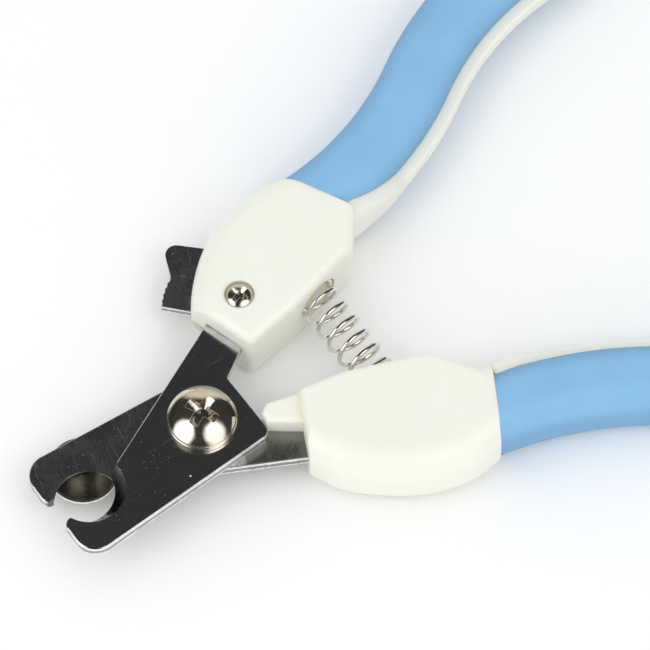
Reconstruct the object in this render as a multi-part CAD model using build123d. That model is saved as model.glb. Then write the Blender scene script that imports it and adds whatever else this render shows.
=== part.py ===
"""Pet nail trimmer: two crossing hook blades on a screw pivot, moulded handles, a coil return spring,
a lock lever and a swing-aside nail-stop plate.

Millimetres, +Z up. The origin is on the pivot axis, level with the underside of the pivot nut. +X runs
along the line that halves the angle between the handles, from the pivot towards the handle ends, so the
jaws point along -X. The halves are shown fully open, the upper half's handle on the +Y side.
"""
from build123d import *
from dataclasses import dataclass
from math import asin, cos, degrees, radians, sin, sqrt
import os

# ---- driving dimensions ----
BLADE_T = 2.0            # thickness of each blade
EDGE_BREAK = 0.12        # chamfer on the rims of the stamped steel pieces
HEAD_T = 11.5            # thickness of the moulded heads and handles
SHEAR_Z = HEAD_T / 2     # plane in which the two blades slide on each other

# blades
NOTCH_X, NOTCH_Y, NOTCH_R = -20.5, 1.05, 4.95
BEVEL_X, BEVEL_Y, BEVEL_R = -19.55, 0.0, 5.3
HOOK_X, HOOK_TOP, HOOK_BOTTOM = -25.65, -2.25, -9.25
HOOK_R, TIP_OUTER_R, TIP_INNER_R = 3.4, 1.2, 0.35
NECK_CORNER_R = 0.6
HEEL_X, HEEL_Y, HEEL_R = 7.2, -7.35, 1.4
NECK_ANGLE, NECK_OFFSET = 25.4, 7.45
NECK_CORNER = (6.8, 3.6)
NECK_ROOT = (11.2, 6.5)
TANG_END, TANG_TIP = 26.5, (24.0, 12.7)
ANCHOR_AT, ANCHOR_R = (21.3, 14.7), 1.5

# pivot stack
PIVOT_R, RUNNING_GAP = 2.5, 0.05
PAN_R, PAN_H, PAN_RIM = 4.9, 2.6, 0.45
RECESS_R, RECESS_DEPTH, RECESS_W, RECESS_TURN = 3.1, 1.8, 1.45, 25.0
WASHER_R, WASHER_T = 5.1, 0.8
GUARD_T, SPRING_WASHER_T = 0.8, 0.35
NUT_ACROSS_FLATS, NUT_CHAMFER_R = 8.0, 4.1
LAYER_GAP = 0.02
OVERCUT = 1.0            # how far a cutting shape runs past the face it opens

# guard plate
GUARD_ANGLE, GUARD_REACH = 165.3, 18.3
GUARD_HUB_R, GUARD_DISC_R = 5.4, 5.2
GUARD_ARM_W, GUARD_DISH_R, GUARD_DISH_DEPTH = 6.4, 4.8, 1.1

# handles
LEAD_L = 6.0             # straight start of the handle, inside the head
RETURN_R, RETURN_SWEEP = 48.0, 40.0
HANDLE_HALF_W, HANDLE_ROUND = 6.1, 4.2
RIB_W, RIB_HALF_H, RIB_ROUND, RIB_LAP, RIB_TIP = 1.8, 1.3, 0.4, 0.2, 1.5
WEB_INNER, WEB_OUTER, WEB_HALF_H = 3.1, 3.9, 3.5
FAIRING_L, FAIRING_HALF_H = 9.0, 4.2

# heads
INNER_MID = (20.5, 6.2)
HEAD_ROUND, HEAD_CORNER_R, LOBE_CORNER_R = 1.3, 3.5, 0.9
HEAD_X_MAX, HEAD_Y_MAX = 46.0, 32.0
SIDE_END_ANGLE = 245.0


@dataclass
class Half:
    """Plan of one moulding, drawn as the upper one."""

    rail_start: tuple     # where the handle's centre line begins
    rail_angle: float     # its direction there, in degrees
    bow_r: float          # radius and sweep of its outward bow
    bow_sweep: float
    front_inner: tuple    # corner between the front and the inner side
    front_angle: float    # direction of the front, going outward
    inner_back: tuple     # corner between the inner side and the waist
    waist: tuple
    side: list            # points along the outer side, from the handle to the front
    side_angle: float     # direction of the outer side at the first of them
    grip_edge: tuple      # outer, middle and inner points of the grip's edge


UPPER = Half(
    rail_start=(32.3, 19.4),
    rail_angle=2.5,
    bow_r=50.0,
    bow_sweep=31.0,
    front_inner=(11.8, 4.8),
    front_angle=109.0,
    inner_back=(32.9, 9.5),
    waist=(37.6, 15.9),
    side=[(34.5, 25.7), (28.5, 25.9), (22.6, 25.5), (16.6, 23.4), (11.4, 19.2), (7.6, 13.9)],
    side_angle=181.0,
    grip_edge=((28.8, 28.8), (32.5, 22.3), (37.7, 13.0)),
)
LOWER = Half(
    rail_start=(31.7, 20.9),
    rail_angle=7.3,
    bow_r=62.0,
    bow_sweep=26.0,
    front_inner=(13.5, 4.9),
    front_angle=114.7,
    inner_back=(32.6, 10.6),
    waist=(37.0, 17.2),
    side=[(33.8, 27.8), (29.3, 28.4), (24.8, 27.7), (18.0, 24.5), (12.4, 19.8), (9.1, 14.2)],
    side_angle=170.0,
    grip_edge=((32.9, 28.8), (36.4, 22.3), (40.9, 13.0)),
)

# return spring, lying along Y between the two heads
SPRING_X, SPRING_HALF = 25.4, 9.15
SPRING_MEAN_R, WIRE_R, SPRING_PITCH = 3.0, 0.34, 2.45
SEAT_R, SEAT_FLOOR, SEAT_REACH = 3.5, 9.2, 20.0

# lock lever and its screw
LOCK_AT = (14.9, 12.4)
LEVER_T, LOCK_WASHER_T = 1.5, 0.3
LEVER_HUB_R, LEVER_ARC_R, LEVER_CORNER_R, LEVER_CORNER_ANGLE = 2.4, 11.5, 11.25, 142.0
LEVER_EDGE_R, LEVER_TIP_R = 1.5, 0.2
LEVER_NOTCH_ANGLE, LOCK_SWING = 117.0, 62.0
LOBE_TOP, LOBE_ROOT, LOBE_R = (-3.2, 15.6), (1.9, 10.9), 1.6
SERRATIONS, SERRATION_R, SERRATION_RISE = 5, 0.62, 0.45
LOCK_SCREW_R, LOCK_HEAD_R, LOCK_HEAD_RIM, LOCK_HEAD_H = 1.25, 2.1, 0.5, 1.2
LOCK_SCREW_END = 2.0
LOCK_RECESS_R, LOCK_RECESS_DEPTH, LOCK_RECESS_W, LOCK_RECESS_TURN = 1.75, 0.9, 0.75, 20.0
COUNTERBORE_R, COUNTERBORE_DEPTH, COUNTERBORE_MOUTH = 2.2, 1.3, 0.35
SLOT_SIDE_GAP, SLOT_REACH = 0.3, 16.5

# opening stop on the lower head
NOSE_H = 3.6

UP = SHEAR_Z
DOWN = SHEAR_Z - BLADE_T
TOP = HEAD_T


def polar(radius, angle, centre=(0, 0)):
    """Point at a radius and an angle in degrees about a centre."""
    return (centre[0] + radius * cos(radians(angle)), centre[1] + radius * sin(radians(angle)))


def turned(point, angle):
    """Point turned about the pivot by an angle in degrees."""
    turn = radians(angle)
    return (point[0] * cos(turn) - point[1] * sin(turn), point[0] * sin(turn) + point[1] * cos(turn))


def prism(face, z_low, z_high):
    """Plan outline raised between two heights."""
    return extrude(Pos(0, 0, z_low) * face, amount=z_high - z_low)


def disc(radius, z_low, z_high, at=(0, 0)):
    """Upright cylinder between two heights."""
    return Pos(at[0], at[1], z_low) * Cylinder(
        radius, z_high - z_low, align=(Align.CENTER, Align.CENTER, Align.MIN)
    )


def outline(*points):
    """Closed straight-sided plan face."""
    return make_face(Polyline(*points, close=True))


def rounded(face, radii):
    """Round the corners of a plan face nearest to each given point."""
    for point, radius in radii:
        corner = face.vertices().sort_by_distance((point[0], point[1], 0))[0]
        face = fillet(corner, radius)
    return face


def turned_over(shape):
    """The same shape for the lower half: half a turn about +X through the shear plane."""
    return Pos(0, 0, SHEAR_Z) * Rot(180, 0, 0) * Pos(0, 0, -SHEAR_Z) * shape


def broken_rims(shape, size=EDGE_BREAK):
    """Take the sharpness off the top and bottom rims of an upright shape."""
    rims = shape.faces().sort_by(Axis.Z)
    return chamfer(rims[0].edges() + rims[-1].edges(), size)


def cross_recess(radius, depth, width, z_top, at=(0, 0), turn=0.0):
    """Cross-shaped driver recess that narrows as it goes down."""
    foot_r, above = radius / 3, 0.5
    mouth_r = foot_r + (radius - foot_r) * (depth + above) / depth
    reach = 3 * radius
    cross = Rectangle(reach, width) + Rectangle(width, reach)
    cut = extrude(Pos(at[0], at[1], z_top + above) * Rot(0, 0, turn) * cross, amount=-(depth + above))
    cone = Pos(at[0], at[1], z_top - depth) * Cone(
        foot_r, mouth_r, depth + above, align=(Align.CENTER, Align.CENTER, Align.MIN)
    )
    return cut & cone


# ---- blades ----
def neck_line(along):
    """Point on the long edge shared by the neck and the jaw."""
    return turned((along, NECK_OFFSET), NECK_ANGLE)


def blade_blank():
    """Stamped blade: hook jaw, pivot plate, neck and tang, lying on the shear plane."""
    notch_foot = (NOTCH_X + 1.1, NOTCH_Y - 2.4)
    inner_tip = (NOTCH_X - 2.4, HOOK_TOP)
    face = outline(
        (HOOK_X, HOOK_TOP),
        (HOOK_X, HOOK_BOTTOM),
        (HEEL_X, HEEL_Y),
        NECK_CORNER,
        NECK_ROOT,
        TANG_TIP,
        neck_line(TANG_END),
        notch_foot,
        inner_tip,
    )
    corners = [((HOOK_X, HOOK_BOTTOM), HOOK_R), ((HEEL_X, HEEL_Y), HEEL_R), (NECK_CORNER, NECK_CORNER_R)]
    face = rounded(face, corners)
    face -= Pos(NOTCH_X, NOTCH_Y) * Circle(NOTCH_R)
    tip_inner = (NOTCH_X - sqrt(NOTCH_R**2 - (NOTCH_Y - HOOK_TOP) ** 2), HOOK_TOP)
    face = rounded(face, [((HOOK_X, HOOK_TOP), TIP_OUTER_R), (tip_inner, TIP_INNER_R)])
    blank = broken_rims(prism(face, UP, UP + BLADE_T))
    edge = Pos(NOTCH_X, NOTCH_Y, UP) * Circle(NOTCH_R)
    rim = Pos(BEVEL_X, BEVEL_Y, UP + BLADE_T) * Circle(BEVEL_R)
    return blank - loft([edge, rim], ruled=True)


def blade():
    """Finished blade of the upper half, with its pivot, lever-screw and anchor holes."""
    holes = [((0, 0), PIVOT_R + RUNNING_GAP), (LOCK_AT, LOCK_SCREW_R + 0.15), (ANCHOR_AT, ANCHOR_R)]
    shape = blade_blank()
    for at, radius in holes:
        shape -= disc(radius, UP - OVERCUT, UP + BLADE_T + OVERCUT, at)
    return shape


# ---- handle rail and the plan shapes laid out along it ----
def rail(half, offset):
    """The handle's centre line moved sideways; positive is the outer side."""
    start = polar(offset, half.rail_angle + 90, half.rail_start)
    tangent = polar(1, half.rail_angle)
    lead = Line(polar(-LEAD_L, half.rail_angle, start), start)
    bow = JernArc(start=start, tangent=tangent, radius=half.bow_r - offset, arc_size=half.bow_sweep)
    back = JernArc(start=bow @ 1, tangent=bow % 1, radius=RETURN_R + offset, arc_size=-RETURN_SWEEP)
    return lead, bow, back


def strip(half, inner, outer, tip=0.0):
    """Plan face between two rails, closed by straight ends or by a round tip."""
    near, far = rail(half, -inner), rail(half, outer)
    edges = [*near, *far, Line(near[0] @ 0, far[0] @ 0)]
    if tip:
        middle = rail(half, (outer - inner) / 2)[-1]
        end = middle @ 1 + (middle % 1) * tip
        edges.append(ThreePointArc(near[-1] @ 1, end, far[-1] @ 1))
    else:
        edges.append(Line(near[-1] @ 1, far[-1] @ 1))
    return make_face(edges)


def soft_rims(shape, radius):
    """Round the top and bottom rims of an upright shape."""
    rims = shape.faces().sort_by(Axis.Z)
    return fillet(rims[0].edges() + rims[-1].edges(), radius)


def level(face, half_height):
    """Plan outline raised evenly to both sides of the handle's middle plane."""
    return prism(face, SHEAR_Z - half_height, SHEAR_Z + half_height)


def bar(half, inner):
    """Rounded bar of a handle, from its outer side to an inner offset."""
    plan = strip(half, inner, HANDLE_HALF_W, (inner + HANDLE_HALF_W) / 2)
    return soft_rims(level(plan, SHEAR_Z), HANDLE_ROUND)


def head_envelope(half):
    """Moulded head: crisp front and inner edges, and a softly rounded outer side."""
    side_start, side_end = half.side[0], half.side[-1]
    front_run = (HEAD_Y_MAX - half.front_inner[1]) / sin(radians(half.front_angle))
    front_far = polar(front_run, half.front_angle, half.front_inner)
    far_corner = (HEAD_X_MAX, HEAD_Y_MAX)
    crisp = outline(half.front_inner, INNER_MID, half.inner_back, half.waist, far_corner, front_far)
    crisp = rounded(crisp, [(half.inner_back, HEAD_CORNER_R), (half.front_inner, LOBE_CORNER_R)])
    crisp = soft_rims(level(crisp, SHEAR_Z), HEAD_ROUND)
    tangents = [polar(1, half.side_angle), polar(1, SIDE_END_ANGLE)]
    side = Spline(*half.side, tangents=tangents)
    below = polar(30, SIDE_END_ANGLE, side_end)
    ahead = polar(24, half.side_angle + 180, side_start)
    around = Polyline(side_end, below, (ahead[0], below[1]), ahead, side_start)
    soft = soft_rims(level(make_face([side, *around.edges()]), SHEAR_Z), HANDLE_ROUND)
    return crisp & soft


def behind_edge(half):
    """Everything on the handle's side of the grip's front edge."""
    outer, middle, inner = half.grip_edge
    edge = ThreePointArc(inner, middle, outer)
    far = Polyline(outer, (outer[0], 60), (110, 60), (110, 0), (inner[0], 0), inner)
    return level(make_face([edge, *far.edges()]), HEAD_T)


def skeleton(half):
    """Part of the core that runs down the handle: the bare inner rib and the web inside the grip."""
    rib_plan = strip(half, HANDLE_HALF_W, RIB_LAP - WEB_INNER, RIB_TIP)
    rib = soft_rims(level(rib_plan, RIB_HALF_H), RIB_ROUND)
    return rib + level(strip(half, WEB_INNER, WEB_OUTER), WEB_HALF_H)


def fairing(half):
    """Slope that brings the head's full height down to the rib, behind the grip's edge."""
    angle = half.rail_angle + FAIRING_L / 2
    side = Plane(
        origin=(*half.grip_edge[2], SHEAR_Z),
        x_dir=(*polar(1, angle), 0),
        z_dir=(*polar(1, angle - 90), 0),
    )
    low, high = RIB_HALF_H, FAIRING_HALF_H
    slope = outline(
        (-OVERCUT, -high), (0, -high), (FAIRING_L, -low), (FAIRING_L, low), (0, high), (-OVERCUT, high)
    )
    room = extrude(side * slope, amount=HANDLE_HALF_W, both=True)
    inner_side = level(strip(half, HANDLE_HALF_W + OVERCUT, -WEB_INNER / 2), HEAD_T)
    return (bar(half, HANDLE_HALF_W) & room & inner_side) - bar(half, HANDLE_HALF_W - RIB_W)


def grip(half):
    """Soft blue grip of one half."""
    return (bar(half, HANDLE_HALF_W - RIB_W) & behind_edge(half)) - skeleton(half)


def plain_core(half):
    """Hard core of one half: head, rib and web, before the details that differ."""
    core = (head_envelope(half) + bar(half, HANDLE_HALF_W)) - behind_edge(half)
    core += fairing(half) + skeleton(half)
    seat = Pos(SPRING_X, SEAT_FLOOR, SHEAR_Z) * Rot(90, 0, 0) * Cylinder(
        SEAT_R, SEAT_REACH, align=(Align.CENTER, Align.CENTER, Align.MIN)
    )
    return core - blade() - seat


# ---- lock lever ----
def lever_face():
    """Plan of the lever at rest: hub, serrated arc, notch and thumb lobe."""
    corner = polar(LEVER_CORNER_R, LEVER_CORNER_ANGLE)
    tangent_angle = LEVER_CORNER_ANGLE + 90 - degrees(asin(LEVER_EDGE_R / LEVER_CORNER_R))
    hub_left = polar(LEVER_EDGE_R, tangent_angle)
    sweep = LEVER_CORNER_ANGLE - LEVER_NOTCH_ANGLE
    arc = [polar(LEVER_ARC_R, LEVER_NOTCH_ANGLE + sweep * i / 8) for i in range(9)]
    body = outline(hub_left, corner, *reversed(arc), LOBE_TOP, LOBE_ROOT, (LEVER_HUB_R, 0))
    body = rounded(body, [(corner, LEVER_TIP_R), (LOBE_TOP, LOBE_R)])
    for i in range(SERRATIONS):
        at = polar(LEVER_ARC_R + SERRATION_RISE, LEVER_NOTCH_ANGLE + sweep * (i + 0.6) / SERRATIONS)
        body -= Pos(at[0], at[1]) * Circle(SERRATION_R)
    return body + Circle(LEVER_HUB_R)


def lock_lever():
    z_high = UP - LOCK_WASHER_T
    shape = prism(lever_face(), z_high - LEVER_T, z_high)
    shape -= disc(LOCK_SCREW_R + RUNNING_GAP, 0, TOP)
    return Pos(LOCK_AT[0], LOCK_AT[1], 0) * shape


def lever_slot():
    """Room for the lever's whole swing, open at the head's outer side and front."""
    corner_angle = LEVER_CORNER_ANGLE + LOCK_SWING
    tangent_angle = corner_angle + 90 - degrees(asin(LEVER_EDGE_R / LEVER_CORNER_R))
    low = polar(LEVER_EDGE_R + SLOT_SIDE_GAP, tangent_angle)
    low_far = polar(SLOT_REACH, tangent_angle - 90, low)
    right = LEVER_HUB_R + SLOT_SIDE_GAP
    fan = outline((0, 0), low, low_far, (-30, 0), (-30, 30), (right, 30), (right, 0))
    fan += Circle(right)
    room = prism(fan, UP - LOCK_WASHER_T - LEVER_T - SLOT_SIDE_GAP, UP)
    return Pos(LOCK_AT[0], LOCK_AT[1], 0) * room


def domed_head(radius, rim, height, z_low, at=(0, 0)):
    """Screw head: a short straight rim under a spherical dome."""
    rise = height - rim
    ball_r = (radius**2 + rise**2) / (2 * rise)
    ball = Pos(at[0], at[1], z_low + height - ball_r) * Sphere(ball_r)
    return disc(radius, z_low, z_low + height, at) & ball


def lock_screw():
    """Self-tapping screw with its domed head down in the counterbore."""
    z_seat = TOP - COUNTERBORE_DEPTH
    head = domed_head(LOCK_HEAD_R, LOCK_HEAD_RIM, LOCK_HEAD_H, z_seat, LOCK_AT)
    shank = disc(LOCK_SCREW_R, LOCK_SCREW_END, z_seat, LOCK_AT)
    recess = cross_recess(
        LOCK_RECESS_R, LOCK_RECESS_DEPTH, LOCK_RECESS_W, z_seat + LOCK_HEAD_H, LOCK_AT, LOCK_RECESS_TURN
    )
    return head + shank - recess


def upper_core():
    """Core of the upper half, with the lever's slot, screw hole and counterbore."""
    core = plain_core(UPPER) - lever_slot()
    core -= disc(COUNTERBORE_R, TOP - COUNTERBORE_DEPTH, TOP + OVERCUT, LOCK_AT)
    core -= Pos(*LOCK_AT, TOP - COUNTERBORE_MOUTH) * Cone(
        COUNTERBORE_R,
        COUNTERBORE_R + COUNTERBORE_MOUTH,
        COUNTERBORE_MOUTH,
        align=(Align.CENTER, Align.CENTER, Align.MIN),
    )
    core -= disc(LOCK_SCREW_R + 2 * RUNNING_GAP, UP - OVERCUT, TOP, LOCK_AT)
    return core - disc(LOCK_SCREW_R, LOCK_SCREW_END, UP, LOCK_AT)


def nose():
    """Stop that the upper blade's heel meets when the tool is fully open."""
    face = outline((14.5, -5.0), (8.8, -3.5), (7.35, -4.4), (7.32, -6.0), (12.6, -9.8), (16.0, -9.0))
    face = rounded(face, [((8.8, -3.5), 0.8), ((7.35, -4.4), 0.6), ((7.32, -6.0), 0.3)])
    bar = prism(face, UP, UP + NOSE_H)
    return fillet(bar.faces().sort_by(Axis.Z)[-1].edges(), 0.7)


def lower_core():
    """Core of the lower half, with the opening stop."""
    return turned_over(plain_core(LOWER)) + nose()


# ---- pivot stack ----
GUARD_TOP = DOWN - LAYER_GAP
GUARD_LOW = GUARD_TOP - GUARD_T
WASHER_TOP = UP + BLADE_T + WASHER_T
NUT_TOP = GUARD_LOW - SPRING_WASHER_T


def pivot_screw():
    """Pan head machine screw whose end is flush with the nut's underside."""
    screw = domed_head(PAN_R, PAN_RIM, PAN_H, WASHER_TOP) + disc(PIVOT_R, 0, WASHER_TOP)
    return screw - cross_recess(RECESS_R, RECESS_DEPTH, RECESS_W, WASHER_TOP + PAN_H, turn=RECESS_TURN)


def ring(outer, inner, z_low, z_high, at=(0, 0)):
    return disc(outer, z_low, z_high, at) - disc(inner, z_low - OVERCUT, z_high + OVERCUT, at)


def pivot_nut():
    """Thin hexagon nut, its corners chamfered underneath."""
    nut = prism(RegularPolygon(NUT_ACROSS_FLATS / 2, 6, major_radius=False), 0, NUT_TOP)
    upright = (Align.CENTER, Align.CENTER, Align.MIN)
    cone = Cone(NUT_CHAMFER_R, NUT_CHAMFER_R + NUT_TOP, NUT_TOP, align=upright)
    return (nut & cone) - disc(PIVOT_R, -OVERCUT, TOP)


def guard_plate():
    """Thin plate: hub round the pivot, arm, and a dished disc under the jaws."""
    at = polar(GUARD_REACH, 0)
    plan = Circle(GUARD_HUB_R) + Pos(at[0], at[1]) * Circle(GUARD_DISC_R)
    plan += Pos(at[0] / 2, 0) * Rectangle(at[0], GUARD_ARM_W)
    plate = prism(plan, GUARD_LOW, GUARD_TOP)
    ball_r = (GUARD_DISH_R**2 + GUARD_DISH_DEPTH**2) / (2 * GUARD_DISH_DEPTH)
    centre_z = GUARD_TOP - GUARD_DISH_DEPTH + ball_r
    shell = Pos(at[0], 0, centre_z) * Sphere(ball_r + GUARD_T)
    below = Pos(at[0], 0, 0) * disc(GUARD_DISC_R, 0, GUARD_TOP)
    plate += shell & below
    plate -= Pos(at[0], 0, centre_z) * Sphere(ball_r)
    plate -= disc(PIVOT_R + RUNNING_GAP, -OVERCUT, TOP)
    return Rot(0, 0, GUARD_ANGLE) * plate


def return_spring():
    """Coil spring along Y between the two seats."""
    height = 2 * (SPRING_HALF - WIRE_R)
    path = Helix(SPRING_PITCH, height, SPRING_MEAN_R)
    section = Plane(origin=path @ 0, z_dir=path % 0) * Circle(WIRE_R)
    coil = sweep(section, path=path, is_frenet=True)
    return Pos(SPRING_X, SPRING_HALF - WIRE_R, SHEAR_Z) * Rot(90, 0, 0) * coil


upper_blade = blade()
parts = {
    "upper_blade": upper_blade,
    "lower_blade": turned_over(upper_blade),
    "upper_handle_core": upper_core(),
    "lower_handle_core": lower_core(),
    "upper_grip": grip(UPPER),
    "lower_grip": turned_over(grip(LOWER)),
    "pivot_screw": pivot_screw(),
    "pivot_washer": broken_rims(ring(WASHER_R, PIVOT_R, UP + BLADE_T, WASHER_TOP)),
    "guard_plate": guard_plate(),
    "pivot_spring_washer": ring(GUARD_HUB_R - 0.9, PIVOT_R, NUT_TOP, GUARD_LOW),
    "pivot_nut": pivot_nut(),
    "return_spring": return_spring(),
    "lock_lever": lock_lever(),
    "lock_washer": ring(2.4, LOCK_SCREW_R, UP - LOCK_WASHER_T, UP, LOCK_AT),
    "lock_screw": lock_screw(),
}

os.makedirs("parts", exist_ok=True)
for name, shape in parts.items():
    export_step(shape, f"parts/{name}.step")
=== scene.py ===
import math

import bpy
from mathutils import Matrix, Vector


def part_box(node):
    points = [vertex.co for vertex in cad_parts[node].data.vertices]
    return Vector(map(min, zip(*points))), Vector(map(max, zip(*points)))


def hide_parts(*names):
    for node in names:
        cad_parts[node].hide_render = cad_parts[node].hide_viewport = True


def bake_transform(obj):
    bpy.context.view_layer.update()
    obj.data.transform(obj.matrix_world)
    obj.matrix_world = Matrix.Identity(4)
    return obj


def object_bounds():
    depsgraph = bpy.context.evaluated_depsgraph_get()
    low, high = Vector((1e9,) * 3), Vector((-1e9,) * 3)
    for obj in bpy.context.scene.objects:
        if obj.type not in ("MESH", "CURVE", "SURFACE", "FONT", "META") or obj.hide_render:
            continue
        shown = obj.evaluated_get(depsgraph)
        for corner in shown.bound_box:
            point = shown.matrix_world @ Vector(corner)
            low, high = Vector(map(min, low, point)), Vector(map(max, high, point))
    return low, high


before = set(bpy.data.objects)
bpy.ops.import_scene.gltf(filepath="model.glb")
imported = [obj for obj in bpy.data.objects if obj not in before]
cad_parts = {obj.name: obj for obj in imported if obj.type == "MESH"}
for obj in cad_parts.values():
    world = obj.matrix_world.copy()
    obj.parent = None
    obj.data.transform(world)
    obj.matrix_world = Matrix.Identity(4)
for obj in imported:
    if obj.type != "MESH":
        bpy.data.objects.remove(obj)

MM = 0.001
cad_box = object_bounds()

# ---- camera: looks down on the pivot end of the open trimmer ----
CAMERA_AZIMUTH, CAMERA_ELEVATION = -34.25, 64.0
CAMERA_DISTANCE = 1.3
FRAME_WIDTH = 94.25 * MM
AIM_RIGHT, AIM_UP = 17.8 * MM, 14.6 * MM
SENSOR = 36.0

# ---- surface colours, linear ----
IVORY_LIGHT, IVORY_WARM = (0.86, 0.865, 0.79), (0.82, 0.82, 0.72)
# painted warm shade for the ivory's holes and corners, then a painted glow for the same places
IVORY_SHADE, IVORY_GLOW = (0.95, 0.80, 0.45), (0.88, 0.74, 0.42)
# the third blue is painted shade for where the grips turn away from the camera
BLUE_LIGHT, BLUE_DEEP, BLUE_EDGE_SHADE = (0.25, 0.50, 0.76), (0.19, 0.41, 0.66), (0.13, 0.29, 0.48)
STEEL, STEEL_DARK = (0.66, 0.67, 0.67), (0.46, 0.46, 0.45)
NICKEL_LIGHT, NICKEL_WARM = (0.78, 0.74, 0.66), (0.62, 0.55, 0.44)
WIRE_LIGHT, WIRE_WARM = (0.88, 0.87, 0.83), (0.76, 0.72, 0.64)
SPECK_DARK, LINT, DUST = (0.45, 0.40, 0.28), (0.80, 0.86, 0.90), (0.10, 0.24, 0.42)
LEVER_STEEL, LEVER_DARK = (0.60, 0.60, 0.60), (0.42, 0.42, 0.41)
GUARD_STEEL, GUARD_DARK = (0.66, 0.64, 0.53), (0.42, 0.41, 0.33)
# the third is a painted dark reflection for the walls round the notch
PIT, GROUND, NOTCH_DARK_REFLECTION = (0.95, 0.95, 0.93), (0.27, 0.27, 0.255), (0.16, 0.165, 0.165)
# the first is a painted highlight for the burnished rims of blanked side faces
BURNISH_HIGHLIGHT, TORN_LIGHT, TORN_DARK = (0.95, 0.95, 0.94), (0.50, 0.50, 0.49), (0.20, 0.20, 0.20)
# painted shade for plated recesses, then a painted highlight for plated edges
RECESS_SHADE, EDGE_HIGHLIGHT = (0.14, 0.11, 0.06), (0.90, 0.87, 0.79)
FLOOR_LIGHT, FLOOR_WARM = (0.93, 0.93, 0.93), (0.91, 0.91, 0.905)

# ---- studio colours, linear: the room and panels that metal reflects, and the plain world ----
ROOM_LOW, ROOM_HIGH, ROOM_OVER = (0.030, 0.029, 0.026), (0.050, 0.050, 0.050), (0.046, 0.047, 0.048)
FLOOR_FAR, FLOOR_STRIP = (0.05, 0.05, 0.045), (0.60, 0.56, 0.44)
PANEL_BEHIND, PANEL_LEFT, PANEL_RIGHT = (0.85, 0.80, 0.64), (1.9, 1.9, 1.86), (1.5, 1.5, 1.47)
WORLD_DIFFUSE, WORLD_SEEN = (0.93, 0.94, 0.945), (0.93, 0.93, 0.93)

# ---- places on the parts ----
# direction along each blade, in degrees from +X
BLADE_ALONG = 25.4
# middle of the upper blade's notch and how far its walls with the painted dark reflection reach, in
# millimetres
NOTCH_AT, NOTCH_REACH = (-20.0, 0.5), 5.9
# height of the handles' parting line, in millimetres
PARTING_LEVEL = (cad_box[0].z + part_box("upper_handle_core")[1].z) / 2 / MM


def camera_axes():
    """Right, up and towards-camera directions of the picture."""
    a, e = math.radians(CAMERA_AZIMUTH), math.radians(CAMERA_ELEVATION)
    back = Vector((math.sin(a) * math.cos(e), -math.cos(a) * math.cos(e), math.sin(e)))
    right = Vector((math.cos(a), math.sin(a), 0))
    return right, back.cross(right), back


class Net:
    """Adds and links shader nodes. A value given as a socket is linked, anything else is set."""

    def __init__(self, owner):
        owner.use_nodes = True
        self.tree = owner.node_tree
        self.tree.nodes.clear()

    def feed(self, socket, value):
        if isinstance(value, bpy.types.NodeSocket):
            self.tree.links.new(value, socket)
        elif socket.type == "RGBA" and len(value) == 3:
            socket.default_value = (*value, 1)
        else:
            socket.default_value = value

    def add(self, kind, inputs, **settings):
        node = self.tree.nodes.new("ShaderNode" + kind)
        for name, value in settings.items():
            setattr(node, name, value)
        for name, value in inputs.items():
            self.feed(node.inputs[name], value)
        return node

    def millimetres(self):
        """Object coordinates in millimetres."""
        where = self.add("TexCoord", {}).outputs["Object"]
        return self.add("VectorMath", {0: where, "Scale": 1 / MM}, operation="SCALE").outputs["Vector"]

    def stretched(self, vector, scale, angle=0.0):
        """Coordinates turned about Z, then scaled along each axis."""
        turned = self.add("VectorRotate", {"Vector": vector, "Angle": math.radians(-angle)})
        scaled = self.add("VectorMath", {0: turned.outputs[0], 1: scale}, operation="MULTIPLY")
        return scaled.outputs["Vector"]

    def noise(self, vector, size, detail=3.0, rough=0.5):
        """Noise whose blobs are about size millimetres across."""
        inputs = {"Vector": vector, "Scale": 1 / size, "Detail": detail, "Roughness": rough}
        return self.add("TexNoise", inputs).outputs[0]

    def spots(self, vector, size, share):
        """Small round specks, one where a cell is picked, over a share of a cell's width."""
        cells = self.add("TexVoronoi", {"Vector": vector, "Scale": 1 / size})
        near = self.remap(cells.outputs["Distance"], share, share * 0.6)
        draw = self.add("SeparateColor", {0: cells.outputs["Color"]}).outputs[0]
        picked = self.remap(self.math("FRACT", self.math("MULTIPLY", draw, 7.0)), 0.7, 0.75)
        return self.math("MULTIPLY", near, picked)

    def math(self, operation, *values):
        return self.add("Math", dict(enumerate(values)), operation=operation).outputs[0]

    def remap(self, value, low, high, to_low=0.0, to_high=1.0):
        """Value eased from one range to another."""
        ends = {"From Min": low, "From Max": high, "To Min": to_low, "To Max": to_high}
        inputs = {"Value": value, **ends}
        return self.add("MapRange", inputs, interpolation_type="SMOOTHSTEP").outputs[0]

    def mix(self, share, a, b):
        """Colour a at share 0, colour b at share 1."""
        node = self.add("Mix", {}, data_type="RGBA")
        for index, value in ((0, share), (6, a), (7, b)):
            self.feed(node.inputs[index], value)
        return node.outputs[2]

    def occlusion(self, distance):
        """1 in the open, falling in the part's own corners and holes."""
        node = self.add("AmbientOcclusion", {"Distance": distance}, samples=6, only_local=True)
        return node.outputs["AO"]

    def bump(self, height, depth, strength=1.0, edge=0.0):
        """Normal for a height map of a given depth, over edges softened by a small radius."""
        inputs = {"Height": height, "Distance": depth, "Strength": strength}
        if edge:
            inputs["Normal"] = self.add("Bevel", {"Radius": edge}, samples=4).outputs[0]
        return self.add("Bump", inputs).outputs[0]

    def surface(self, **inputs):
        named = {name.replace("_", " "): value for name, value in inputs.items()}
        shader = self.add("BsdfPrincipled", named)
        self.add("OutputMaterial", {"Surface": shader.outputs[0]})


def material(name):
    """New material and its nodes."""
    made = bpy.data.materials.new(name)
    return made, Net(made)


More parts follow.
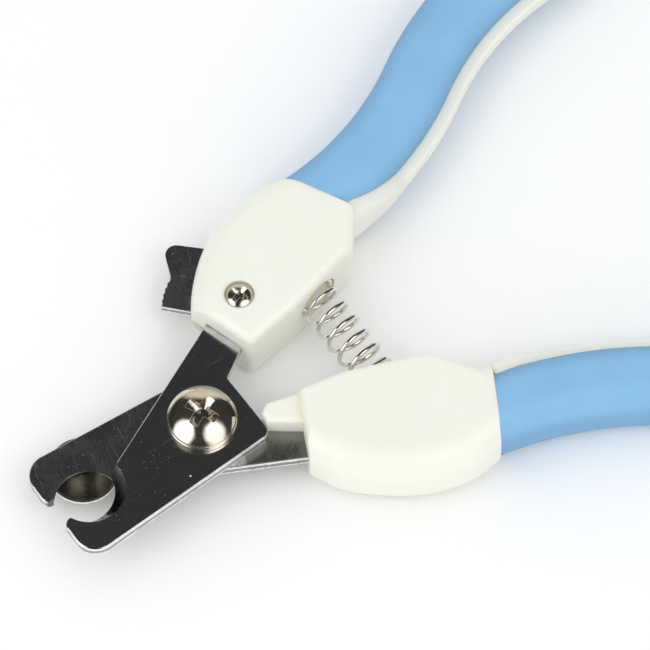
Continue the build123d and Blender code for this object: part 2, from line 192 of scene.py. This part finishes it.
# ---- materials ----
def ivory_plastic():
    """Hard ivory plastic: satin, a little waxy, with a painted warm shade and a faint painted glow in
    holes and corners.
    """
    made, net = material("ivory_plastic")
    mm = net.millimetres()
    tone = net.mix(net.noise(mm, 14.0), IVORY_LIGHT, IVORY_WARM)
    # painted shade: holes and corners of the part turn warm and darker
    deep = net.remap(net.occlusion(3.0 * MM), 0.75, 0.1)
    tone = net.mix(net.math("MULTIPLY", deep, 0.75), tone, IVORY_SHADE)
    specks = net.spots(mm, 4.5, 0.03)
    tone = net.mix(net.math("MULTIPLY", specks, 0.35), tone, SPECK_DARK)
    grain = net.noise(mm, 0.16, 2.0)
    swell = net.noise(mm, 5.0, 1.0)
    height = net.math("ADD", net.math("MULTIPLY", grain, 0.25), swell)
    net.surface(
        Base_Color=tone,
        Roughness=net.remap(net.noise(mm, 3.0, 4.0), 0.3, 0.7, 0.36, 0.5),
        Normal=net.bump(height, 0.06 * MM, 0.6, 0.15 * MM),
        # painted glow: holes and corners give off a faint warm light of their own
        Emission_Color=IVORY_GLOW,
        Emission_Strength=net.math("MULTIPLY", deep, 0.14),
        Subsurface_Weight=0.25,
        Subsurface_Radius=(1.0, 0.85, 0.5),
        Subsurface_Scale=2.0 * MM,
    )
    return made


def blue_grip():
    """Soft matt elastomer with a fine moulded grain, a faint parting line and a little lint."""
    made, net = material("blue_grip")
    mm = net.millimetres()
    tone = net.mix(net.noise(mm, 9.0, 4.0), BLUE_LIGHT, BLUE_DEEP)
    lint = net.spots(net.stretched(mm, (1.0, 0.45, 1.0), 35), 5.5, 0.035)
    dust = net.spots(mm, 3.1, 0.03)
    tone = net.mix(net.math("MULTIPLY", lint, 0.5), tone, LINT)
    tone = net.mix(net.math("MULTIPLY", dust, 0.35), tone, DUST)
    # painted shade: the grip is darkened where its surface turns away from the camera
    turned_away = net.add("LayerWeight", {"Blend": 0.5}).outputs["Facing"]
    edge_shade = net.remap(turned_away, 0.15, 0.8)
    tone = net.mix(net.math("MULTIPLY", edge_shade, 0.6), tone, BLUE_EDGE_SHADE)
    level = net.add("SeparateXYZ", {0: mm}).outputs[2]
    off_middle = net.math("ABSOLUTE", net.math("SUBTRACT", level, PARTING_LEVEL))
    parting = net.remap(off_middle, 0.16, 0.04)
    height = net.math("ADD", net.noise(mm, 0.22, 2.0), net.math("MULTIPLY", net.noise(mm, 2.5), 0.8))
    height = net.math("ADD", height, net.math("MULTIPLY", parting, 1.2))
    net.surface(
        Base_Color=tone,
        Roughness=net.remap(net.noise(mm, 1.2, 4.0), 0.3, 0.7, 0.5, 0.66),
        Normal=net.bump(height, 0.05 * MM, 0.6, 0.15 * MM),
        Sheen_Weight=0.05,
        Sheen_Roughness=0.5,
    )
    return made


def scratch_mask(net, mm, brush):
    """Fine scratches along the brushing, and a few across it."""
    along = net.noise(net.stretched(mm, (0.02, 1.0, 1.0), brush + 3), 0.22, 2.0)
    across = net.noise(net.stretched(mm, (0.025, 1.0, 1.0), brush - 40), 0.30, 2.0)
    return net.math("MAXIMUM", net.remap(along, 0.67, 0.76), net.remap(across, 0.73, 0.79))


def blanked_sides(net, mm, facing, node):
    """Masks for the torn middle and the smooth rims of a blanked part's side faces, and the
    streaks down the torn middle."""
    low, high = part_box(node)
    side = net.remap(net.math("ABSOLUTE", facing), 0.5, 0.2)
    level = net.add("SeparateXYZ", {0: mm}).outputs[2]
    across = net.remap(level, low.z / MM, high.z / MM, -1.0, 1.0)
    ragged = net.math("MULTIPLY", net.math("SUBTRACT", net.noise(mm, 0.5, 4.0), 0.5), 0.9)
    off_band = net.math("ABSOLUTE", net.math("ADD", net.math("ADD", across, 0.15), ragged))
    torn = net.math("MULTIPLY", net.remap(off_band, 0.75, 0.45), side)
    rims = net.math("MULTIPLY", side, net.remap(torn, 0.6, 0.1))
    streak = net.noise(net.stretched(mm, (1.0, 1.0, 0.08)), 0.12, 3.0)
    return torn, rims, streak


def notch_walls(net, mm, facing, notch):
    """Mask for the tilted walls round a notch."""
    flat = net.stretched(mm, (1, 1, 0))
    reach = net.add("VectorMath", {0: flat, 1: notch}, operation="DISTANCE").outputs["Value"]
    near = net.remap(reach, NOTCH_REACH + 0.5, NOTCH_REACH)
    tilted = net.remap(net.math("ABSOLUTE", facing), 0.98, 0.90)
    return net.math("MULTIPLY", near, tilted)


def brushed_steel(
    name, node, tint, dark, along, brush, roughness, ground_from=None, scuffs=0.0, notch=None
):
    """Polished sheet steel, brushed at an angle to +X, with fine scratches, smears and pits. Its
    blanked side faces are torn in the middle, and their burnished rims carry a painted highlight. Past
    ground_from, in millimetres along the part, the surface is left coarsely ground. Scuffs adds
    handling marks and crumbs. The walls of the notch carry a painted dark reflection."""
    made, net = material(name)
    mm = net.millimetres()
    grain = net.noise(net.stretched(mm, (0.06, 1.0, 1.0), brush), 0.10, 6.0, 0.6)
    scratch = scratch_mask(net, mm, brush)
    smear = net.noise(mm, 6.0, 5.0, 0.6)
    pits = net.math("MAXIMUM", net.spots(mm, 3.4, 0.045), net.spots(mm, 1.7, 0.035))
    if scuffs:
        worn = net.remap(net.noise(mm, 7.0, 2.0), 0.44, 0.56)
        rubbed = net.noise(net.stretched(mm, (0.08, 1.0, 1.0), brush), 0.30, 5.0, 0.6)
        marks = net.math("MULTIPLY", net.remap(rubbed, 0.60, 0.74), scuffs)
        crumbs = net.math("MULTIPLY", net.spots(mm, 0.7, 0.16), worn)
        scratch = net.math("MAXIMUM", scratch, net.math("MAXIMUM", marks, crumbs))
        pits = net.math("MAXIMUM", pits, net.math("MULTIPLY", crumbs, scuffs * 0.4))
    tone = net.mix(net.remap(smear, 0.35, 0.7), tint, dark)
    tone = net.mix(pits, tone, PIT)
    low, high = roughness
    blend = net.math("ADD", net.math("MULTIPLY", smear, 0.7), net.math("MULTIPLY", grain, 0.3))
    rough = net.remap(blend, 0.38, 0.62, low, high)
    rough = net.math("ADD", rough, net.math("MULTIPLY", scratch, 0.22))
    if ground_from is not None:
        place = net.add("SeparateXYZ", {0: net.stretched(mm, (1, 1, 1), along)}).outputs[0]
        wavy = net.math("ADD", place, net.math("MULTIPLY", net.noise(mm, 3.0), 1.2))
        ground = net.remap(wavy, ground_from + 0.3, ground_from + 0.9)
        hatch = net.noise(net.stretched(mm, (0.08, 1.0, 1.0), along + 62), 0.16, 4.0, 0.6)
        hatched = net.remap(hatch, 0.35, 0.65, 0.26, 0.50)
        rough = net.math("MAXIMUM", rough, net.math("MULTIPLY", ground, hatched))
        grain = net.math("ADD", grain, net.math("MULTIPLY", ground, hatch))
        tone = net.mix(net.math("MULTIPLY", ground, 0.85), tone, GROUND)
    true_normal = net.add("NewGeometry", {}).outputs["True Normal"]
    facing = net.add("SeparateXYZ", {0: true_normal}).outputs[2]
    torn, rims, streak = blanked_sides(net, mm, facing, node)
    streaked = net.mix(streak, TORN_LIGHT, TORN_DARK)
    tone = net.mix(net.math("MULTIPLY", torn, 0.75), tone, streaked)
    rough = net.math("MAXIMUM", rough, net.math("MULTIPLY", torn, 0.42))
    if notch is not None:
        # painted reflection: the tilted walls round the notch are painted dark and lose the bright
        # rims
        walls = notch_walls(net, mm, facing, notch)
        tone = net.mix(walls, tone, NOTCH_DARK_REFLECTION)
        rims = net.math("MULTIPLY", rims, net.math("SUBTRACT", 1.0, walls))
    # painted highlight: the burnished rims are painted near white and made less metallic
    tone = net.mix(rims, tone, BURNISH_HIGHLIGHT)
    height = net.math("SUBTRACT", grain, net.math("MULTIPLY", scratch, 0.6))
    height = net.math("ADD", height, net.math("MULTIPLY", torn, streak))
    dull = net.math("MAXIMUM", pits, net.math("MULTIPLY", rims, 0.45))
    net.surface(
        Base_Color=tone,
        Metallic=net.math("SUBTRACT", 1.0, dull),
        Roughness=rough,
        Normal=net.bump(height, 0.006 * MM, 0.5, 0.06 * MM),
    )
    return made


def plated(name, light, warm, roughness):
    """Bright plated metal: slightly warm, with painted shade darkening its recesses and a painted
    highlight making its edges paler, with fine handling marks."""
    made, net = material(name)
    mm = net.millimetres()
    cloud = net.noise(mm, 1.6, 4.0)
    tone = net.mix(cloud, light, warm)
    # painted shade: recesses and corners are darkened towards a warm brown
    deep = net.remap(net.occlusion(0.5 * MM), 0.6, 0.05)
    tone = net.mix(net.math("MULTIPLY", deep, 0.55), tone, RECESS_SHADE)
    marks = net.remap(net.noise(net.stretched(mm, (0.08, 1.0, 1.0), 70), 0.18, 3.0), 0.62, 0.72)
    low, high = roughness
    rough = net.math("ADD", net.remap(cloud, 0.3, 0.7, low, high), net.math("MULTIPLY", marks, 0.12))
    # painted highlight: edges found by the rounded normal are painted pale and made less metallic
    rounded = net.add("Bevel", {"Radius": 0.10 * MM}, samples=6).outputs[0]
    flat = net.add("NewGeometry", {}).outputs["Normal"]
    alike = net.add("VectorMath", {0: rounded, 1: flat}, operation="DOT_PRODUCT").outputs["Value"]
    edge = net.remap(alike, 0.985, 0.86)
    tone = net.mix(edge, tone, EDGE_HIGHLIGHT)
    rough = net.math("MAXIMUM", rough, net.math("MULTIPLY", edge, 0.3))
    height = net.math("SUBTRACT", net.noise(mm, 0.7), net.math("MULTIPLY", marks, 0.4))
    net.surface(
        Base_Color=tone,
        Metallic=net.math("SUBTRACT", 1.0, net.math("MULTIPLY", edge, 0.55)),
        Roughness=rough,
        Normal=net.bump(height, 0.01 * MM, 0.5, 0.05 * MM),
    )
    return made


def floor_finish():
    """Pale matt studio sweep, very slightly uneven. In reflections it ends in a dark room, except
    for a warm strip behind."""
    made, net = material("floor")
    mm = net.millimetres()
    tone = net.mix(net.noise(mm, 60.0), FLOOR_LIGHT, FLOOR_WARM)
    place = net.add("VectorMath", {0: mm}, operation="NORMALIZE").outputs["Vector"]
    _, _, back = camera_axes()
    behind = tuple(Vector((-back.x, -back.y, 0)).normalized())
    along = net.add("VectorMath", {0: place, 1: behind}, operation="DOT_PRODUCT").outputs["Value"]
    strip = net.remap(along, math.cos(math.radians(38)), math.cos(math.radians(24)))
    room = net.mix(strip, FLOOR_FAR, FLOOR_STRIP)
    reach = net.add("VectorMath", {0: mm}, operation="LENGTH").outputs["Value"]
    mirrored = net.add("LightPath", {}).outputs["Is Glossy Ray"]
    tone = net.mix(net.math("MULTIPLY", mirrored, net.remap(reach, 70.0, 150.0)), tone, room)
    net.surface(
        Base_Color=tone,
        Roughness=net.remap(net.noise(mm, 8.0), 0.3, 0.7, 0.8, 0.95),
        Normal=net.bump(net.noise(mm, 0.6), 0.02 * MM, 0.3),
    )
    return made


ivory, blue = ivory_plastic(), blue_grip()
upper_steel = brushed_steel(
    "blade_steel_upper",
    "upper_blade",
    STEEL,
    STEEL_DARK,
    along=BLADE_ALONG,
    brush=-7.0,
    roughness=(0.10, 0.26),
    ground_from=13.2,
    scuffs=0.25,
    notch=(*NOTCH_AT, 0),
)
lower_steel = brushed_steel(
    "blade_steel_lower",
    "lower_blade",
    STEEL,
    STEEL_DARK,
    along=-BLADE_ALONG,
    brush=80.0,
    roughness=(0.12, 0.34),
    ground_from=5.5,
    scuffs=1.0,
    notch=(NOTCH_AT[0], -NOTCH_AT[1], 0),
)
lever_steel = brushed_steel(
    "lever_steel",
    "lock_lever",
    LEVER_STEEL,
    LEVER_DARK,
    along=120.0,
    brush=60.0,
    roughness=(0.18, 0.36),
    scuffs=0.7,
)
guard_steel = brushed_steel(
    "guard_steel",
    "guard_plate",
    GUARD_STEEL,
    GUARD_DARK,
    along=75.0,
    brush=75.0,
    roughness=(0.22, 0.38),
)
nickel = plated("nickel", NICKEL_LIGHT, NICKEL_WARM, (0.05, 0.15))
wire = plated("spring_wire", WIRE_LIGHT, WIRE_WARM, (0.03, 0.08))

FINISHES = {
    "upper_blade": upper_steel,
    "lower_blade": lower_steel,
    "lock_lever": lever_steel,
    "guard_plate": guard_steel,
    "upper_handle_core": ivory,
    "lower_handle_core": ivory,
    "upper_grip": blue,
    "lower_grip": blue,
    "pivot_screw": nickel,
    "pivot_washer": nickel,
    "pivot_spring_washer": nickel,
    "pivot_nut": nickel,
    "lock_washer": nickel,
    "lock_screw": nickel,
    "return_spring": wire,
}
for node, finish in FINISHES.items():
    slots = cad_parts[node].data.materials
    slots.clear()
    slots.append(finish)


# ---- return spring: a round-wire coil along the CAD spring, its end turns closer ----
SPRING_TURNS, SPRING_PHASE = 7.3, -0.25
# turns at each end over which the pitch falls to END_PITCH of the middle's
DEAD_TURNS, END_PITCH = 0.9, 0.30
RINGS_PER_TURN, RING_POINTS = 40, 12
WIRE_R = 0.34 * MM


def coil_advance(turn):
    """Share of the spring's length reached after a number of turns; the end turns lie closer."""

    def slope(t):
        share = min(t, SPRING_TURNS - t) / DEAD_TURNS
        share = min(1.0, max(0.0, share))
        return END_PITCH + (1.0 - END_PITCH) * share ** 2

    steps = 200
    width = SPRING_TURNS / steps
    total = sum(slope((i + 0.5) * width) for i in range(steps))
    upto = turn / width
    done = sum(slope((i + 0.5) * width) for i in range(int(upto)))
    part = (upto - int(upto)) * slope(min(upto, steps - 0.5) * width)
    return (done + part) / total


def wire_path(start, end, mean_r):
    """Points along the middle of the wire as it winds round the line from start to end."""
    count = int(SPRING_TURNS * RINGS_PER_TURN) + 1
    points = []
    for i in range(count):
        turn = SPRING_TURNS * i / (count - 1)
        angle = 2 * math.pi * (turn + SPRING_PHASE)
        x = start.x + mean_r * math.cos(angle)
        y = start.y + (end.y - start.y) * coil_advance(turn)
        z = start.z - mean_r * math.sin(angle)
        points.append(Vector((x, y, z)))
    return points


def wire_verts(points, centre):
    """A ring of vertices round each point of the wire."""
    last = len(points) - 1
    verts = []
    for i, point in enumerate(points):
        tangent = (points[min(i + 1, last)] - points[max(i - 1, 0)]).normalized()
        outward = Vector((point.x - centre.x, 0, point.z - centre.z)).normalized()
        side = tangent.cross(outward).normalized()
        outward = side.cross(tangent)
        for k in range(RING_POINTS):
            angle = 2 * math.pi * k / RING_POINTS
            verts.append(point + WIRE_R * (math.cos(angle) * outward + math.sin(angle) * side))
    return verts


def tube_faces(count):
    """Quads between neighbouring rings, and a cap at each end."""
    faces = []
    for i in range(count - 1):
        near, far = i * RING_POINTS, (i + 1) * RING_POINTS
        for k in range(RING_POINTS):
            following = (k + 1) % RING_POINTS
            faces.append((near + k, near + following, far + following, far + k))
    faces.append(tuple(reversed(range(RING_POINTS))))
    faces.append(tuple(range((count - 1) * RING_POINTS, count * RING_POINTS)))
    return faces


def spring_piece():
    """Round wire coil between the lower half's seat and the upper half's."""
    low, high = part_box("return_spring")
    centre = (low + high) / 2
    start = Vector((centre.x, low.y + WIRE_R, centre.z))
    end = Vector((centre.x, high.y - WIRE_R, centre.z))
    points = wire_path(start, end, (high.x - low.x) / 2 - WIRE_R)
    mesh = bpy.data.meshes.new("return_spring_coil")
    mesh.from_pydata(wire_verts(points, centre), [], tube_faces(len(points)))
    for polygon in mesh.polygons:
        polygon.use_smooth = len(polygon.vertices) == 4
    mesh.materials.append(wire)
    coil = bpy.data.objects.new("return_spring_coil", mesh)
    bpy.context.scene.collection.objects.link(coil)
    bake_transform(coil)
    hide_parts("return_spring")


spring_piece()


# ---- floor, world and lights ----
FLOOR_HALF, FLOOR_GAP = 3.0, 0.05 * MM
LIGHT_DISTANCE = 0.75


def make_floor():
    """Square sweep just under the trimmer."""
    mesh = bpy.data.meshes.new("floor")
    h = FLOOR_HALF
    mesh.from_pydata([(-h, -h, 0), (h, -h, 0), (h, h, 0), (-h, h, 0)], [], [(0, 1, 2, 3)])
    mesh.materials.append(floor_finish())
    floor = bpy.data.objects.new("floor", mesh)
    floor.location.z = cad_box[0].z - FLOOR_GAP
    bpy.context.scene.collection.objects.link(floor)


def make_world():
    """White studio for matt surfaces. Reflections see a dark room with a warm strip low down behind,
    two bright panels in front, to the left and right, and a dark gap over the blades."""
    world = bpy.data.worlds.new("studio")
    bpy.context.scene.world = world
    net = Net(world)
    right, _, back = camera_axes()
    front = Vector((back.x, back.y, 0)).normalized()
    top = Vector((0, 0, 1))
    direction = net.add("TexCoord", {}).outputs["Generated"]

    def lobe(vector, inner, outer):
        """1 within an angle of a direction, 0 past a wider one."""
        inputs = {0: direction, 1: tuple(vector.normalized())}
        facing = net.add("VectorMath", inputs, operation="DOT_PRODUCT").outputs["Value"]
        return net.remap(facing, math.cos(math.radians(outer)), math.cos(math.radians(inner)))

    # direction, then the angles where the panel ends being full and being seen, then its colour
    panels = (
        (top * 0.05 - front, 18, 34, PANEL_BEHIND),
        (front * 0.38 - right * 0.74 + top * 0.55, 19, 33, PANEL_LEFT),
        (front * 0.50 + right * 0.54 + top * 0.68, 19, 34, PANEL_RIGHT),
    )
    height = net.add("SeparateXYZ", {0: direction}).outputs[2]
    reflected = net.mix(net.remap(height, 0.0, 0.35), ROOM_LOW, ROOM_HIGH)
    for vector, inner, outer, colour in panels:
        reflected = net.mix(lobe(vector, inner, outer), reflected, colour)
    mirrored = Vector((-back.x, -back.y, back.z))
    reflected = net.mix(lobe(mirrored, 8, 30), reflected, ROOM_OVER)
    path = net.add("LightPath", {})
    seen = net.mix(path.outputs["Is Glossy Ray"], WORLD_DIFFUSE, reflected)
    seen = net.mix(path.outputs["Is Camera Ray"], seen, WORLD_SEEN)
    background = net.add("Background", {"Color": seen, "Strength": 1.0})
    net.add("OutputWorld", {"Surface": background.outputs[0]})
    world.cycles.sampling_method = "NONE"


def softbox(name, direction, size, power, mirrored=True):
    """Square area light aimed at the object's middle, with or without its reflection."""
    aim = (cad_box[0] + cad_box[1]) / 2
    data = bpy.data.lights.new(name, "AREA")
    data.size = size
    data.energy = power
    lamp = bpy.data.objects.new(name, data)
    lamp.visible_glossy = mirrored
    lamp.location = aim + direction.normalized() * LIGHT_DISTANCE
    lamp.rotation_mode = "QUATERNION"
    lamp.rotation_quaternion = (-direction).to_track_quat("-Z", "Y")
    bpy.context.scene.collection.objects.link(lamp)


def make_lights():
    """Two softboxes in front and a low fill that metal doesn't reflect."""
    right, _, back = camera_axes()
    front = Vector((back.x, back.y, 0)).normalized()
    top = Vector((0, 0, 1))
    softbox("left", front * 0.33 - right * 0.74 + top * 0.75, size=0.40, power=0.62)
    softbox("right", front * 0.43 + right * 0.52 + top * 0.90, size=0.40, power=0.60)
    softbox("front_fill", front + top * 0.30, size=0.50, power=0.55, mirrored=False)


def make_camera():
    """Long lens, aimed beside the pivot at the underside of the upper blade."""
    low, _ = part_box("upper_blade")
    right, up, back = camera_axes()
    target = Vector((0, 0, low.z)) + right * AIM_RIGHT + up * AIM_UP
    data = bpy.data.cameras.new("camera")
    data.sensor_width = SENSOR
    data.lens = SENSOR * CAMERA_DISTANCE / FRAME_WIDTH
    data.clip_end = 20
    camera = bpy.data.objects.new("camera", data)
    bpy.context.scene.collection.objects.link(camera)
    camera.location = target + back * CAMERA_DISTANCE
    camera.rotation_mode = "QUATERNION"
    camera.rotation_quaternion = (-back).to_track_quat("-Z", "Y")
    bpy.context.scene.camera = camera


make_floor()
make_world()
make_lights()
make_camera()
bpy.context.scene.view_settings.view_transform = "Standard"
